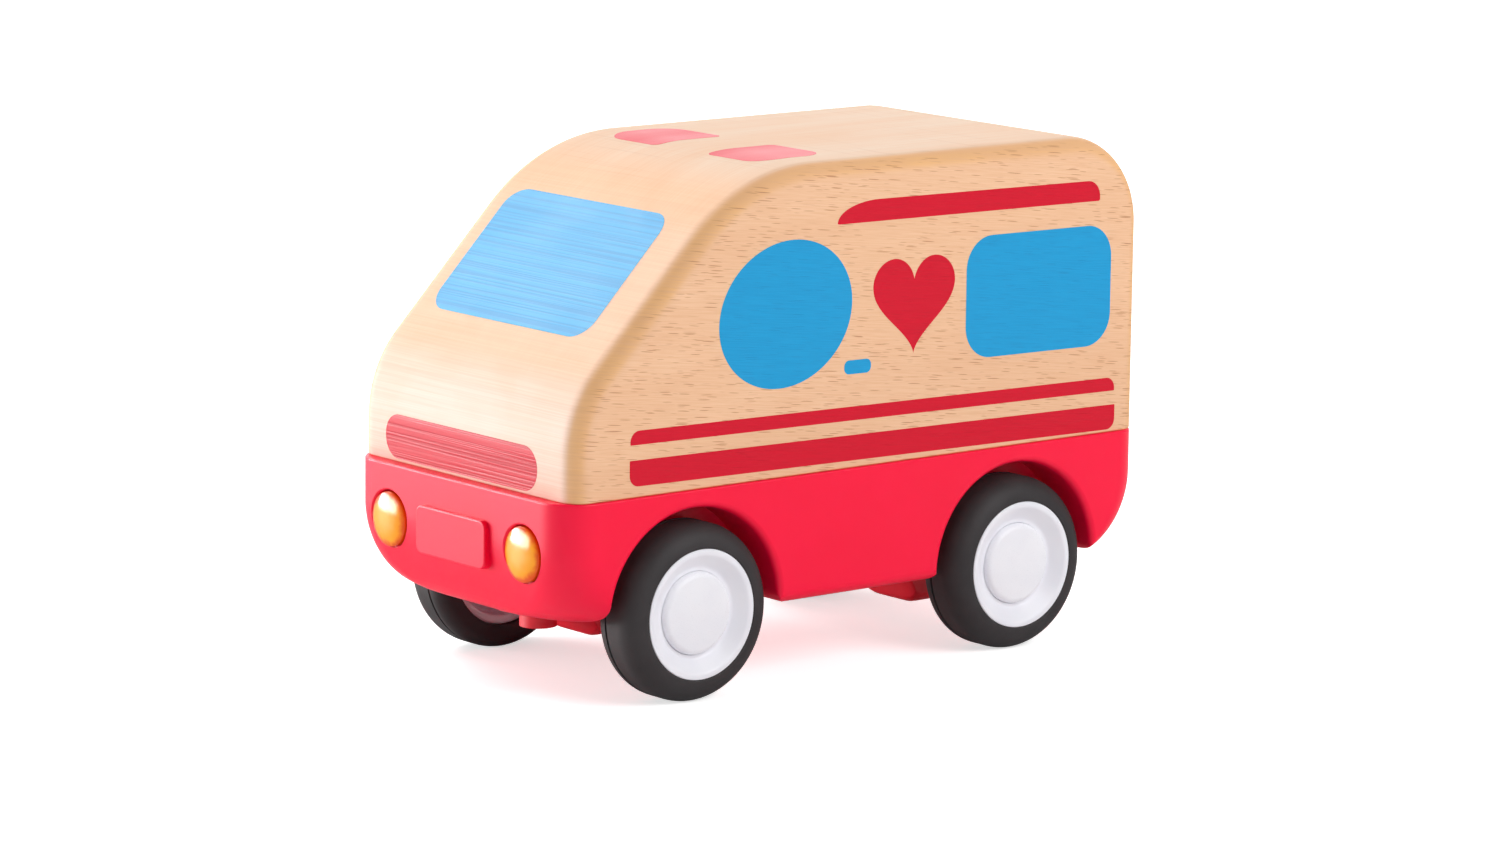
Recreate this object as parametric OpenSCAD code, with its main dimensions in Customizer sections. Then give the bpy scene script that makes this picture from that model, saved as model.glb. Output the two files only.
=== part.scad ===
// Toy ambulance: a solid beech cabin screwed to a moulded chassis shell, rolling on two axles.
// +X is the nose, +Y the left side, +Z up. The origin is on the ground under the middle.

/* [Overall] */
// Length from the front of the number plate to the tail
overall_l = 135.2; // [125:0.2:150]
// Distance between the two axles
wheelbase = 74.8; // [70:0.2:80]
// Width over the outer faces of the tyres
track_w = 66.9; // [66:0.1:72]

/* [Wheels] */
// Outer diameter of a tyre
tyre_d = 32; // [30:0.5:35]
// Width of a tyre
tyre_w = 10.1; // [9:0.1:11.5]
// Radius of the tyre's outer shoulder
tyre_shoulder_r = 4; // [2:0.1:4.2]
// Radius of the tyre's inner shoulder
tyre_heel_r = 2.5; // [1:0.1:3.5]
// Diameter of the ring groove in the tyre's tread
tyre_crease_d = 0.7; // [0.3:0.1:1.2]
// Distance of that groove from the tyre's inner face
tyre_crease_in = 2.1; // [1.5:0.1:3.5]
// Outer diameter of a wheel hub
hub_d = 23.3; // [21:0.1:23.7]
// Width of the hub's drum under the tyre
hub_w = 9; // [8:0.1:10]
// Flat land of the hub's rim
hub_rim = 0.5; // [0.3:0.1:1]
// Depth of the dish in the hub's face
hub_dish = 1.6; // [1:0.1:2]
// Thickness of the hub's web
hub_web_t = 2.2; // [1.5:0.1:3]
// Wall thickness of the hub's drum
hub_drum_t = 1.6; // [1:0.1:2.5]
// Diameter of the hub's collar round the axle
hub_collar_d = 8; // [7:0.1:10]
// Diameter of a hub cap
cap_d = 14.6; // [12:0.1:16]
// Depth of the hub cap's face behind the rim
cap_inset = 0.8; // [0.4:0.1:1]
// Thickness of a hub cap
cap_t = 1.6; // [1.2:0.1:2.2]
// Radius of the hub cap's edge
cap_edge_r = 0.6; // [0.2:0.1:0.8]
// Diameter of an axle
axle_d = 4; // [3:0.1:4.5]

/* [Chassis] */
// Width of the chassis shell
chassis_w = 64; // [62:0.2:65.6]
// Wall thickness of the shell
wall_t = 2.4; // [1.8:0.1:3]
// Thickness of the shell's floor
floor_t = 2.2; // [1.6:0.1:3]
// Depth of the underside below the axle's centre
belly_drop = 0.8; // [0.4:0.1:1.4]
// Gap between the tread and the wheel arch
arch_gap = 2.7; // [2:0.1:4]
// Gap between a tyre and its wheel housing
wheel_gap = 1; // [0.6:0.1:1.6]
// Wall thickness of a wheel housing
housing_t = 1.7; // [1.2:0.1:2.4]
// Height of the rim above the wheel housings
rim_h = 1.6; // [1:0.1:6]
// Radius of the corners where a wheel arch meets the underside
arch_foot_r = 2.5; // [1:0.1:3.5]
// Corner radius of the nose in plan
nose_corner_r = 7.4; // [4:0.1:10]
// Corner radius of the chin in plan, where the nose has curved under
chin_corner_r = 24; // [12:0.5:28]
// Distance that the nose curves back at the underside
nose_rake = 5.6; // [3:0.1:8]
// Height over which the nose curves back
nose_rise = 15; // [12:0.5:20]
// Corner radius of the tail in plan
tail_corner_r = 5; // [3.5:0.1:8]
// Distance that the tail curves in at the underside
tail_rake = 15.5; // [5:0.1:17]
// Height over which the tail curves in
tail_rise = 15; // [10:0.5:20]
// Radius of the skirts' lower edge
skirt_r = 2.2; // [1:0.1:2.6]
// Length of the block that carries an axle
saddle_l = 12; // [9:0.5:16]
// Thickness of that block above the axle
saddle_t = 3; // [2:0.1:5]

/* [Number plate and headlights] */
// Width of the bare number plate
plate_w = 20.4; // [14:0.2:26]
// Height of the number plate
plate_h = 8.7; // [7:0.1:12]
// Distance that the number plate stands proud
plate_proud = 1; // [0.5:0.1:2]
// Corner radius of the number plate
plate_r = 1.5; // [0.5:0.1:3]
// Depth of the number plate's centre below the seam
plate_drop = 10.1; // [9:0.1:13]
// Diameter of a headlight lens
lens_d = 10.1; // [8:0.1:11]
// Distance between the two lens centres
lens_span = 39.4; // [34:0.2:40]
// Depth of the lens centres below the seam
lens_drop = 10.1; // [8:0.1:12]
// Height of the lens's dome
lens_dome = 1; // [0.6:0.1:2]
// Thickness of the lens under its dome
lens_t = 1.6; // [1:0.1:2]
// Depth of the lens's seat behind the nose
lens_seat = 1.6; // [1.2:0.1:2]
// Diameter of the lens's stem
lens_stem_d = 4; // [3:0.1:5]
// Length of the lens's stem
lens_stem_l = 3; // [2:0.1:5]

/* [Cabin] */
// Height of the cabin block
cabin_h = 55.3; // [48:0.1:62]
// Width of the cabin block
cabin_w = 63.2; // [58:0.1:63.4]
// Ledge of the shell's rim in front of the block
nose_ledge = 2.1; // [0.4:0.1:3]
// Ledge of the shell's rim behind the block
tail_ledge = 0.2; // [0.1:0.1:1.2]
// Height of the upright nose up to the foot of the windscreen slope
nose_h = 16; // [14:0.1:22]
// Distance from the nose back to the top of the windscreen slope
screen_back = 38.3; // [30:0.1:44]
// Radius where the nose turns into the slope
nose_r = 22; // [10:0.5:26]
// Radius where the slope turns into the roof
brow_r = 38.4; // [20:0.1:44]
// Radius where the roof turns down at the tail
tail_r = 16.7; // [6:0.1:20]
// Radius of the round-over along both sides
edge_r = 4; // [2:0.1:5]

/* [Axle covers] */
// Width of an axle cover
cover_w = 16; // [12:0.2:22]
// Thickness of the cover's plate
cover_t = 2; // [1.5:0.1:3]
// Depth of the front keel below the chassis
front_keel_h = 7.7; // [6:0.1:12]
// Depth of the rear keel below the chassis
rear_keel_h = 10.8; // [6:0.1:12]
// Length of a keel at the plate
keel_l = 15; // [10:0.2:16]
// Length of a keel at its foot
keel_foot_l = 6; // [4:0.2:8]
// Radius of a keel's foot
keel_r = 2; // [1:0.1:2.5]
// Distance of each screw boss from the axle
boss_out = 10.6; // [10.2:0.1:12]
// Diameter of a screw boss
boss_d = 6.8; // [6.4:0.1:9]
// Depth of a screw boss below the chassis
boss_h = 5.5; // [4:0.1:7]

/* [Screws] */
// Shank diameter of a cover screw
cover_screw_d = 2.5; // [2:0.1:3]
// Head diameter of a cover screw
cover_head_d = 4.8; // [4:0.1:5.5]
// Head height of a cover screw
cover_head_h = 1.6; // [1.2:0.1:2]
// Length of a cover screw under its head
cover_screw_l = 11; // [8:0.5:13]
// Shank diameter of a cabin screw
body_screw_d = 3; // [2.5:0.1:3.5]
// Head diameter of a cabin screw
body_head_d = 5.8; // [5:0.1:6.2]
// Head height of a cabin screw
body_head_h = 2; // [1.5:0.1:2.6]
// Length of a cabin screw under its head
body_screw_l = 26; // [22:0.5:30]
// Length of a cabin screw inside the block
body_screw_bite = 12; // [9:0.5:14]
// Distance of the cabin screws from their axle
body_screw_out = 14.6; // [13:0.1:16]
// Distance between the left and the right cabin screws
body_screw_span = 26; // [22:0.2:28]
// Diameter of a screw post inside the shell
post_d = 10; // [9:0.1:11]

/* [Fits] */
// Radial clearance of an axle in its bearing
run_gap = 0.06; // [0.03:0.01:0.1]
// Radial clearance of pieces that are pushed together
push_gap = 0.02; // [0.01:0.01:0.05]
// Radial clearance round lenses, caps and screw heads
loose_gap = 0.15; // [0.1:0.01:0.3]
// Gap between a hub's collar and the wheel housing
thrust_gap = 0.3; // [0.2:0.05:0.5]
// Gap between an axle's end and its hub cap
axle_end_gap = 0.3; // [0.1:0.05:0.6]

/* [Hidden] */
// Overrun of every cut past the face that it opens
over = 1;
// Thickness of the slices that a lofted form is stretched over
slice_t = 0.01;
// Steps of a rounded corner, of a round-over and of the chassis's curve
corner_steps = 8;
edge_steps = 5;
loft_steps = 8;
// Sides of the circles that are stretched over, and of plain round pieces
loft_fn = 32;
round_fn = 64;
// Floor of every corner radius
least_r = 0.5;
// Depth and width of a screw's cross recess, as shares of its head
slot_depth_share = 0.5;
slot_width_share = 0.2;
slot_span_share = 0.65;

// Heights
axle_h = tyre_d/2;
belly_h = axle_h - belly_drop;
arch_r = tyre_d/2 + arch_gap;
seam_h = axle_h + arch_r + housing_t + rim_h;
roof_h = seam_h + cabin_h;
floor_h = belly_h + floor_t;
// Lengthways
axle_x = wheelbase/2;
tail_x = -overall_l/2;
nose_x = overall_l/2 - plate_proud;
cabin_nose_x = nose_x - nose_ledge;
cabin_tail_x = tail_x + tail_ledge;
// Crossways
wheel_y = track_w/2;
housing_y = wheel_y - tyre_w - wheel_gap;
housing_in_y = housing_y - housing_t;
// Wheels
hub_r = hub_d/2;
cap_seat = cap_inset + cap_t;
cap_pocket_r = cap_d/2 + loose_gap;
collar_end = tyre_w + wheel_gap - thrust_gap;
axle_l = track_w - 2*(cap_seat + axle_end_gap);
// Screws
body_screw_x = axle_x + body_screw_out;
body_seat_h = seam_h + body_screw_bite - body_screw_l;
cover_seat_h = belly_h - boss_h + cover_head_h;
cover_post_h = cover_seat_h + cover_screw_l - belly_h;

ends = [1, -1];
sides = [1, -1];

// Points of an arc round m from angle a0 through turn
function arc(m, r, a0, turn) =
    [for (k = [0:corner_steps]) m + r*[cos(a0 + turn*k/corner_steps), sin(a0 + turn*k/corner_steps)]];

// Points of the rounded corner at b, on the way from a to c
function unit(v) = v/norm(v);
function corner(a, b, c, r) =
    let (u = unit(a - b), v = unit(c - b), half = acos(u*v)/2,
         m = b + unit(u + v)*r/sin(half), s = b + u*r/tan(half) - m, e = b + v*r/tan(half) - m,
         a0 = atan2(s.y, s.x), turn = (atan2(e.y, e.x) - a0 + 540) % 360 - 180)
    arc(m, r, a0, turn);

// How far a face has curved in at height z, over a quarter ellipse of this rise and rake
function bend(z, rise, rake) =
    let (up = min((belly_h + rise - z)/rise, 1)) up <= 0 ? 0 : rake*(1 - sqrt(1 - up*up));

// Side view of the cabin block, carried on below the seam for the cut that levels it
cabin_foot_h = seam_h - 2*edge_r;
cabin_outline = let (tail_foot = [cabin_tail_x, cabin_foot_h], tail_top = [cabin_tail_x, roof_h],
                     brow = [cabin_nose_x - screen_back, roof_h],
                     nose = [cabin_nose_x, seam_h + nose_h], nose_foot = [cabin_nose_x, cabin_foot_h])
    concat([tail_foot], corner(tail_foot, tail_top, brow, tail_r),
           corner(tail_top, brow, nose, brow_r), corner(brow, nose, nose_foot, nose_r), [nose_foot]);

// Turns a piece drawn along Z so that it runs along Y, or along X towards the nose
module along_y() rotate([-90, 0, 0]) children();
module along_x() rotate([0, 90, 0]) children();

// Puts a wheel piece, drawn from its outer face inwards, on its axle
module at_wheel(end, side)
    translate([end*axle_x, side*wheel_y, axle_h]) rotate([side*90, 0, 0]) children();

module at_body_screws()
    for (end = ends, side = sides)
        translate([end*body_screw_x, side*body_screw_span/2, 0]) children();

module at_cover_screws(axle_ends = ends)
    for (end = axle_ends, step = ends) translate([end*axle_x + step*boss_out, 0, 0]) children();

// The bore that an axle runs in, through everything that carries it
module axle_bore(end)
    translate([end*axle_x, 0, axle_h]) along_y()
        cylinder(d = axle_d + 2*run_gap, h = 2*housing_y + 2*over, center = true, $fn = round_fn);

// One level of the chassis's outer form, drawn in by inset
module chassis_level(z, inset) {
    nose_bend = bend(z, nose_rise, nose_rake);
    front = nose_x - nose_bend - inset;
    rear = tail_x + bend(z, tail_rise, tail_rake) + inset;
    half_w = chassis_w/2 - bend(z, skirt_r, skirt_r) - inset;
    front_r = nose_corner_r + (chin_corner_r - nose_corner_r)*nose_bend/nose_rake - inset;
    rear_r = max(tail_corner_r - inset, least_r);
    for (side = sides) {
        translate([front - front_r, side*(half_w - front_r), z]) cylinder(r = front_r, h = slice_t);
        translate([rear + rear_r, side*(half_w - rear_r), z]) cylinder(r = rear_r, h = slice_t);
    }
}

// The chassis's outer form from a height up to the rim
module chassis_form(from_h, top_h, inset) {
    rise = max(nose_rise, tail_rise);
    hull() {
        for (k = [0:loft_steps]) {
            z = belly_h + rise*(1 - cos(90*k/loft_steps));
            if (z >= from_h) chassis_level(z, inset, $fn = loft_fn);
        }
        chassis_level(from_h, inset, $fn = loft_fn);
        chassis_level(top_h - slice_t, inset, $fn = loft_fn);
    }
}

// Solid beech, rounded over along both sides, with pilot holes from below
module body_block() color("burlywood") difference() {
    hull() for (side = sides, k = [0:edge_steps]) {
        y = side*(cabin_w/2 - edge_r*(1 - sin(90*k/edge_steps)));
        translate([0, y + (1 - side)/2*slice_t, 0]) rotate([90, 0, 0]) linear_extrude(slice_t)
            offset(delta = -edge_r*(1 - cos(90*k/edge_steps))) polygon(cabin_outline);
    }
    translate([-overall_l, -track_w, seam_h - roof_h]) cube([2*overall_l, 2*track_w, roof_h]);
    at_body_screws() translate([0, 0, seam_h - over])
        cylinder(d = body_screw_d + 2*push_gap, h = body_screw_bite + 2*over, $fn = round_fn);
}

// Cut that rounds the corner between a wheel arch and the underside, seen from the side
arch_foot_y = arch_foot_r - belly_drop;
arch_foot_x = sqrt((arch_r + arch_foot_r)*(arch_r + arch_foot_r) - arch_foot_y*arch_foot_y);
arch_foot = concat([[0, 0], [0, -arch_foot_r], [arch_foot_x, -arch_foot_r]],
    arc([arch_foot_x, arch_foot_y], arch_foot_r, -90, atan2(arch_foot_y, arch_foot_x) - 90));

// Pieces inside the shell: wheel housings, axle saddles and screw posts
module chassis_inner() {
    for (end = ends) {
        for (side = sides) translate([end*axle_x, side*(housing_in_y + wheel_y)/2, axle_h]) along_y()
            cylinder(r = arch_r + housing_t, h = wheel_y - housing_in_y, center = true, $fn = round_fn);
        translate([end*axle_x - saddle_l/2, -housing_y, belly_h])
            cube([saddle_l, 2*housing_y, belly_drop + axle_d/2 + saddle_t]);
    }
    at_body_screws() translate([0, 0, belly_h]) cylinder(d = post_d, h = seam_h - belly_h, $fn = round_fn);
    at_cover_screws() translate([0, 0, belly_h])
        cylinder(d = cover_head_d + wall_t, h = cover_post_h + floor_t, $fn = round_fn);
}

// Bare raised number plate on the nose
module number_plate() translate([nose_x - wall_t/2, 0, seam_h - plate_drop]) along_x()
    linear_extrude(wall_t/2 + plate_proud) square_round(plate_h, plate_w, plate_r);

module square_round(w, h, r) {
    square([w - 2*r, h], center = true);
    square([w, h - 2*r], center = true);
    for (i = ends, j = ends) translate([i*(w/2 - r), j*(h/2 - r)]) circle(r, $fn = loft_fn);
}

// Moulded shell with wheel arches, lens seats and axle saddles
module chassis_shell() color("crimson") difference() {
    union() {
        difference() {
            chassis_form(belly_h, seam_h, 0);
            chassis_form(floor_h, seam_h + over, wall_t);
        }
        intersection() {
            chassis_form(belly_h, seam_h, 0);
            chassis_inner();
        }
        number_plate();
    }
    for (end = ends) {
        axle_bore(end);
        for (side = sides) translate([end*axle_x, side*(housing_y + wheel_y/2), axle_h]) along_y() {
            cylinder(r = arch_r, h = wheel_y, center = true, $fn = round_fn);
            for (step = ends) linear_extrude(wheel_y, center = true)
                polygon([for (p = arch_foot) [step*p.x, -p.y]]);
        }
    }
    for (side = sides) translate([nose_x - lens_seat, side*lens_span/2, seam_h - lens_drop]) along_x() {
        cylinder(d = lens_d + 2*loose_gap, h = lens_seat + over, $fn = round_fn);
        translate([0, 0, -wall_t - over])
            cylinder(d = lens_stem_d + 2*push_gap, h = wall_t + 2*over, $fn = round_fn);
    }
    at_body_screws() {
        translate([0, 0, belly_h - over])
            cylinder(d = body_screw_d + 2*loose_gap, h = seam_h - belly_h + 2*over, $fn = round_fn);
        translate([0, 0, belly_h - over])
            cylinder(d = body_head_d + 2*loose_gap, h = body_seat_h - belly_h + over, $fn = round_fn);
    }
    at_cover_screws() translate([0, 0, belly_h - over])
        cylinder(d = cover_screw_d + 2*push_gap, h = cover_post_h + 2*over, $fn = round_fn);
}

// Lower half of an axle's bearing: a keel between two screw bosses on one plate
module axle_cover(end, keel_h) color("red") difference() {
    union() {
        translate([end*axle_x, cover_w/2, belly_h]) rotate([90, 0, 0]) linear_extrude(cover_w)
            polygon(concat([[keel_l/2, 0], [-keel_l/2, 0]],
                corner([-keel_l/2, 0], [-keel_foot_l/2, -keel_h], [0, -keel_h], keel_r),
                corner([0, -keel_h], [keel_foot_l/2, -keel_h], [keel_l/2, 0], keel_r)));
        translate([end*axle_x - boss_out, -cover_w/2, belly_h - cover_t])
            cube([2*boss_out, cover_w, cover_t]);
        at_cover_screws([end]) {
            translate([0, 0, belly_h - boss_h]) cylinder(d = boss_d, h = boss_h, $fn = round_fn);
            translate([0, 0, belly_h - cover_t]) cylinder(d = cover_w, h = cover_t, $fn = round_fn);
        }
    }
    axle_bore(end);
    at_cover_screws([end]) {
        translate([0, 0, belly_h - boss_h - over])
            cylinder(d = cover_head_d + 2*loose_gap, h = cover_head_h + over, $fn = round_fn);
        translate([0, 0, belly_h - boss_h])
            cylinder(d = cover_screw_d + 2*loose_gap, h = boss_h + over, $fn = round_fn);
    }
}

// Amber lens: a dome on a flange, with a stem that is pushed into the nose
module headlight_lens(side) color("orange")
    translate([nose_x - lens_seat, side*lens_span/2, seam_h - lens_drop]) along_x()
        rotate_extrude($fn = round_fn) polygon(lens_outline);

lens_r = lens_d/2;
lens_ball_r = (lens_r*lens_r + lens_dome*lens_dome)/(2*lens_dome);
lens_half_angle = asin(lens_r/lens_ball_r);
lens_outline = concat([[0, -lens_stem_l], [lens_stem_d/2, -lens_stem_l], [lens_stem_d/2, 0], [lens_r, 0]],
    arc([0, lens_t + lens_dome - lens_ball_r], lens_ball_r, 90 - lens_half_angle, lens_half_angle));

// A screw that points up, with its seat at height zero and a cross recess in its head
module screw(d, l, head_d, head_h) difference() {
    union() {
        translate([0, 0, -head_h]) cylinder(d = head_d, h = head_h, $fn = round_fn);
        translate([0, 0, -head_h/2]) cylinder(d = d, h = l + head_h/2, $fn = round_fn);
    }
    for (turn = [0, 90]) rotate([0, 0, turn])
        translate([-head_d*slot_span_share/2, -head_d*slot_width_share/2, -head_h - over])
            cube([head_d*slot_span_share, head_d*slot_width_share, head_h*slot_depth_share + over]);
}

module body_screws() color("silver")
    at_body_screws() translate([0, 0, body_seat_h]) screw(body_screw_d, body_screw_l, body_head_d, body_head_h);

module cover_screws() color("silver")
    at_cover_screws() translate([0, 0, cover_seat_h])
        screw(cover_screw_d, cover_screw_l, cover_head_d, cover_head_h);

module axle(end) color("silver")
    translate([end*axle_x, 0, axle_h]) along_y()
        cylinder(d = axle_d, h = axle_l, center = true, $fn = round_fn);

// Soft tyre: a round outer shoulder, a smaller inner heel and one ring groove
tyre_r = tyre_d/2;
tyre_seat_r = hub_r + push_gap;
tyre_outline = concat([[tyre_seat_r, 0]],
    arc([tyre_r - tyre_shoulder_r, tyre_shoulder_r], tyre_shoulder_r, -90, 90),
    arc([tyre_r - tyre_heel_r, tyre_w - tyre_heel_r], tyre_heel_r, 0, 90),
    [[tyre_seat_r, tyre_w]]);

module tyre(end, side) color("dimgray") at_wheel(end, side) difference() {
    rotate_extrude($fn = round_fn) polygon(tyre_outline);
    rotate_extrude($fn = round_fn)
        translate([tyre_r, tyre_w - tyre_crease_in]) circle(d = tyre_crease_d, $fn = loft_fn);
}

// White hub: a dished face with a pocket for the cap, a web, a drum and a collar
module wheel_hub(end, side) color("white") at_wheel(end, side) rotate_extrude($fn = round_fn)
    polygon([[axle_d/2 + push_gap, cap_seat], [cap_pocket_r, cap_seat], [cap_pocket_r, hub_dish],
             [cap_pocket_r + hub_rim, hub_dish], [hub_r - hub_rim, 0], [hub_r, 0], [hub_r, hub_w],
             [hub_r - hub_drum_t, hub_w], [hub_r - hub_drum_t, cap_seat + hub_web_t],
             [hub_collar_d/2, cap_seat + hub_web_t], [hub_collar_d/2, collar_end],
             [axle_d/2 + push_gap, collar_end]]);

module hub_cap(end, side) color("whitesmoke") at_wheel(end, side) rotate_extrude($fn = round_fn)
    polygon(concat([[0, cap_seat], [0, cap_inset]],
        arc([cap_d/2 - cap_edge_r, cap_inset + cap_edge_r], cap_edge_r, -90, 90), [[cap_d/2, cap_seat]]));

body_block();
chassis_shell();
axle_cover(1, front_keel_h);  // front_axle_cover
axle_cover(-1, rear_keel_h);  // rear_axle_cover
headlight_lens(1);  // headlight_lens_left
headlight_lens(-1);  // headlight_lens_right
body_screws();
cover_screws();
axle(1);  // front_axle
axle(-1);  // rear_axle
tyre(1, 1);  // tyre_front_left
tyre(1, -1);  // tyre_front_right
tyre(-1, 1);  // tyre_rear_left
tyre(-1, -1);  // tyre_rear_right
wheel_hub(1, 1);  // wheel_hub_front_left
wheel_hub(1, -1);  // wheel_hub_front_right
wheel_hub(-1, 1);  // wheel_hub_rear_left
wheel_hub(-1, -1);  // wheel_hub_rear_right
hub_cap(1, 1);  // hub_cap_front_left
hub_cap(1, -1);  // hub_cap_front_right
hub_cap(-1, 1);  // hub_cap_rear_left
hub_cap(-1, -1);  // hub_cap_rear_right
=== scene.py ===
from math import asin, atan2, cos, degrees, pi, radians, sin, sqrt, tan

import bmesh
import bpy
from mathutils import Matrix, Vector


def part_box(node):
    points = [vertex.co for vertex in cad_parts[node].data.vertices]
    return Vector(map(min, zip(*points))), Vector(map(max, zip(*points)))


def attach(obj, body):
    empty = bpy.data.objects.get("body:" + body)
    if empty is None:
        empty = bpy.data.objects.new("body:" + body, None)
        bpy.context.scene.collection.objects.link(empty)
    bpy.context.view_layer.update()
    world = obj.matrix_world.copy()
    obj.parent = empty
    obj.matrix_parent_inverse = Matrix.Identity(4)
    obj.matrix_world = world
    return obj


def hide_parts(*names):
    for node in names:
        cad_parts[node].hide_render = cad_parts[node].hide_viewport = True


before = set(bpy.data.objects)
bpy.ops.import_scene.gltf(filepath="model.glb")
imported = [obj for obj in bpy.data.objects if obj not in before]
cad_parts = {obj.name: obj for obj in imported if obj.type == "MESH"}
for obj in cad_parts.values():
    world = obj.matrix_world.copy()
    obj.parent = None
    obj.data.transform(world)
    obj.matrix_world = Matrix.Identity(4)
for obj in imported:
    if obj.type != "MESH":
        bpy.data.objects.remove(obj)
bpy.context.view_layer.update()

print("frame:", len(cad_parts), "nodes")

# Sizes are in mm, in the CAD frame: +X nose, +Y left side, +Z up, ground at 0.
mm = 0.001
mainBody, frontBody, rearBody = "cabin_and_chassis", "front_wheels", "rear_wheels"
scene = bpy.context.scene
bothSides = (1, -1)


def nodeBox(name):  # a CAD node's lowest and highest corner in mm
    return [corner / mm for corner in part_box(name)]


# Mesh helpers

def meshPiece(name, points, faces):
    mesh = bpy.data.meshes.new(name)
    mesh.from_pydata([tuple(value * mm for value in point) for point in points], [], faces)
    piece = bpy.data.objects.new(name, mesh)
    scene.collection.objects.link(piece)
    return piece


def smoothMesh(piece, angle):  # welds, turns the faces outwards and smooths up to an angle
    work = bmesh.new()
    work.from_mesh(piece.data)
    bmesh.ops.remove_doubles(work, verts=work.verts, dist=1e-7)
    bmesh.ops.recalc_face_normals(work, faces=work.faces)
    work.to_mesh(piece.data)
    work.free()
    piece.data.shade_smooth()
    piece.data.set_sharp_from_angle(angle=radians(angle))
    return piece


def settleMesh(piece):  # makes the modifiers' result the piece's own mesh
    graph = bpy.context.evaluated_depsgraph_get()
    mesh = bpy.data.meshes.new_from_object(piece.evaluated_get(graph))
    piece.modifiers.clear()
    mesh.name = piece.name
    piece.data = mesh
    return piece


def storeFacing(piece):  # keeps the normals as an attribute, for the wood and its prints
    facing = piece.data.attributes.new("facing", "FLOAT_VECTOR", "CORNER")
    normals = [value for corner in piece.data.corner_normals for value in corner.vector]
    facing.data.foreach_set("vector", normals)
    return piece


def flattenNormals(piece):  # keeps big flat faces flat beside their rounded edges
    change = piece.modifiers.new("flats", "WEIGHTED_NORMAL")
    change.keep_sharp = True
    return settleMesh(piece)


def combine(base, tool, operation="DIFFERENCE"):
    change = base.modifiers.new("cut", "BOOLEAN")
    change.operation, change.solver, change.object = operation, "MANIFOLD", tool
    settleMesh(base)
    bpy.data.objects.remove(tool)
    return base


def dress(piece, body, material, slotName, *nodes):
    piece.data.materials.clear()
    piece.data.materials.append(material)
    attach(piece, body)
    if nodes:
        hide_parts(*nodes)
    return piece


def arcPoints(middle, radius, start, turn, steps):  # angles in degrees
    return [Vector((middle[0] + radius * cos(radians(start + turn * k / steps)),
                    middle[1] + radius * sin(radians(start + turn * k / steps))))
            for k in range(steps + 1)]


def quarterRound(radius, steps):  # (rise, inset) along a rounded edge
    return [(radius * sin(pi / 2 * k / steps), radius * (1 - cos(pi / 2 * k / steps)))
            for k in range(steps + 1)]


def filletPath(corners, radii, steps, closed=True):  # a 2D path with its corners rounded
    path, count = [], len(corners)
    for i, radius in enumerate(radii):
        here = Vector(corners[i])
        if radius <= 0 or (not closed and i in (0, count - 1)):
            path.append(here)
            continue
        back = (Vector(corners[i - 1]) - here).normalized()
        ahead = (Vector(corners[(i + 1) % count]) - here).normalized()
        half = back.angle(ahead) / 2
        middle = here + (back + ahead).normalized() * (radius / sin(half))
        first = here + back * (radius / tan(half)) - middle
        last = here + ahead * (radius / tan(half)) - middle
        start = degrees(atan2(first.y, first.x))
        turn = (degrees(atan2(last.y, last.x)) - start + 180) % 360 - 180
        path += arcPoints(middle, radius, start, turn, steps)
    return path


def insetCorners(corners, inset):  # an open path's corners, moved in on its right-hand side
    moved = []
    for i, corner in enumerate(corners):
        normals = []
        for a, b in ((i - 1, i), (i, i + 1)):
            if a >= 0 and b < len(corners):
                run = (Vector(corners[b]) - Vector(corners[a])).normalized()
                normals.append(Vector((-run.y, run.x)))
        out = normals[0]
        if len(normals) == 2:
            out = (normals[0] + normals[1]) / (1 + normals[0].dot(normals[1]))
        moved.append(Vector(corner) - out * inset)
    return moved


def bridgeFaces(rows, columns, wrap):  # quads between rows of points
    faces = []
    for row in range(rows - 1):
        for column in range(columns if wrap else columns - 1):
            beside = (column + 1) % columns
            faces.append((row * columns + column, row * columns + beside,
                          (row + 1) * columns + beside, (row + 1) * columns + column))
    return faces


def loftPiece(name, outlines):  # a closed form through outlines with the same number of points
    columns = len(outlines[0])
    points = [point for outline in outlines for point in outline]
    faces = bridgeFaces(len(outlines), columns, True)
    faces.append(tuple(range(columns))[::-1])
    faces.append(tuple(range(len(points) - columns, len(points))))
    return smoothMesh(meshPiece(name, points, faces), 40)


axisFrames = {"x": (Vector((0, 1, 0)), Vector((0, 0, 1)), Vector((1, 0, 0))),
              "y": (Vector((0, 0, 1)), Vector((1, 0, 0)), Vector((0, 1, 0))),
              "z": (Vector((1, 0, 0)), Vector((0, 1, 0)), Vector((0, 0, 1)))}


def turnedPiece(name, profile, centre, axis, segments):  # profile of (radius, place along the axis)
    across, over, along = axisFrames[axis]
    points = []
    for k in range(segments):
        angle = 2 * pi * k / segments
        spoke = across * cos(angle) + over * sin(angle)
        points += [Vector(centre) + spoke * radius + along * place for radius, place in profile]
    points += points[:len(profile)]
    faces = bridgeFaces(segments + 1, len(profile), False)
    return smoothMesh(meshPiece(name, points, faces), 40)


def boxCorners(low, high):
    return [(low[0], low[1]), (high[0], low[1]), (high[0], high[1]), (low[0], high[1])]


def boxPiece(name, low, high):
    return loftPiece(name, [[(x, y, z) for x, y in boxCorners(low, high)] for z in (low[2], high[2])])


# Material helpers

def setInputs(node, inputs):  # links sockets and sets plain values
    for label, value in inputs.items():
        if isinstance(value, bpy.types.NodeSocket):
            node.id_data.links.new(value, node.inputs[label])
        else:
            node.inputs[label].default_value = value
    return node


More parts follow.
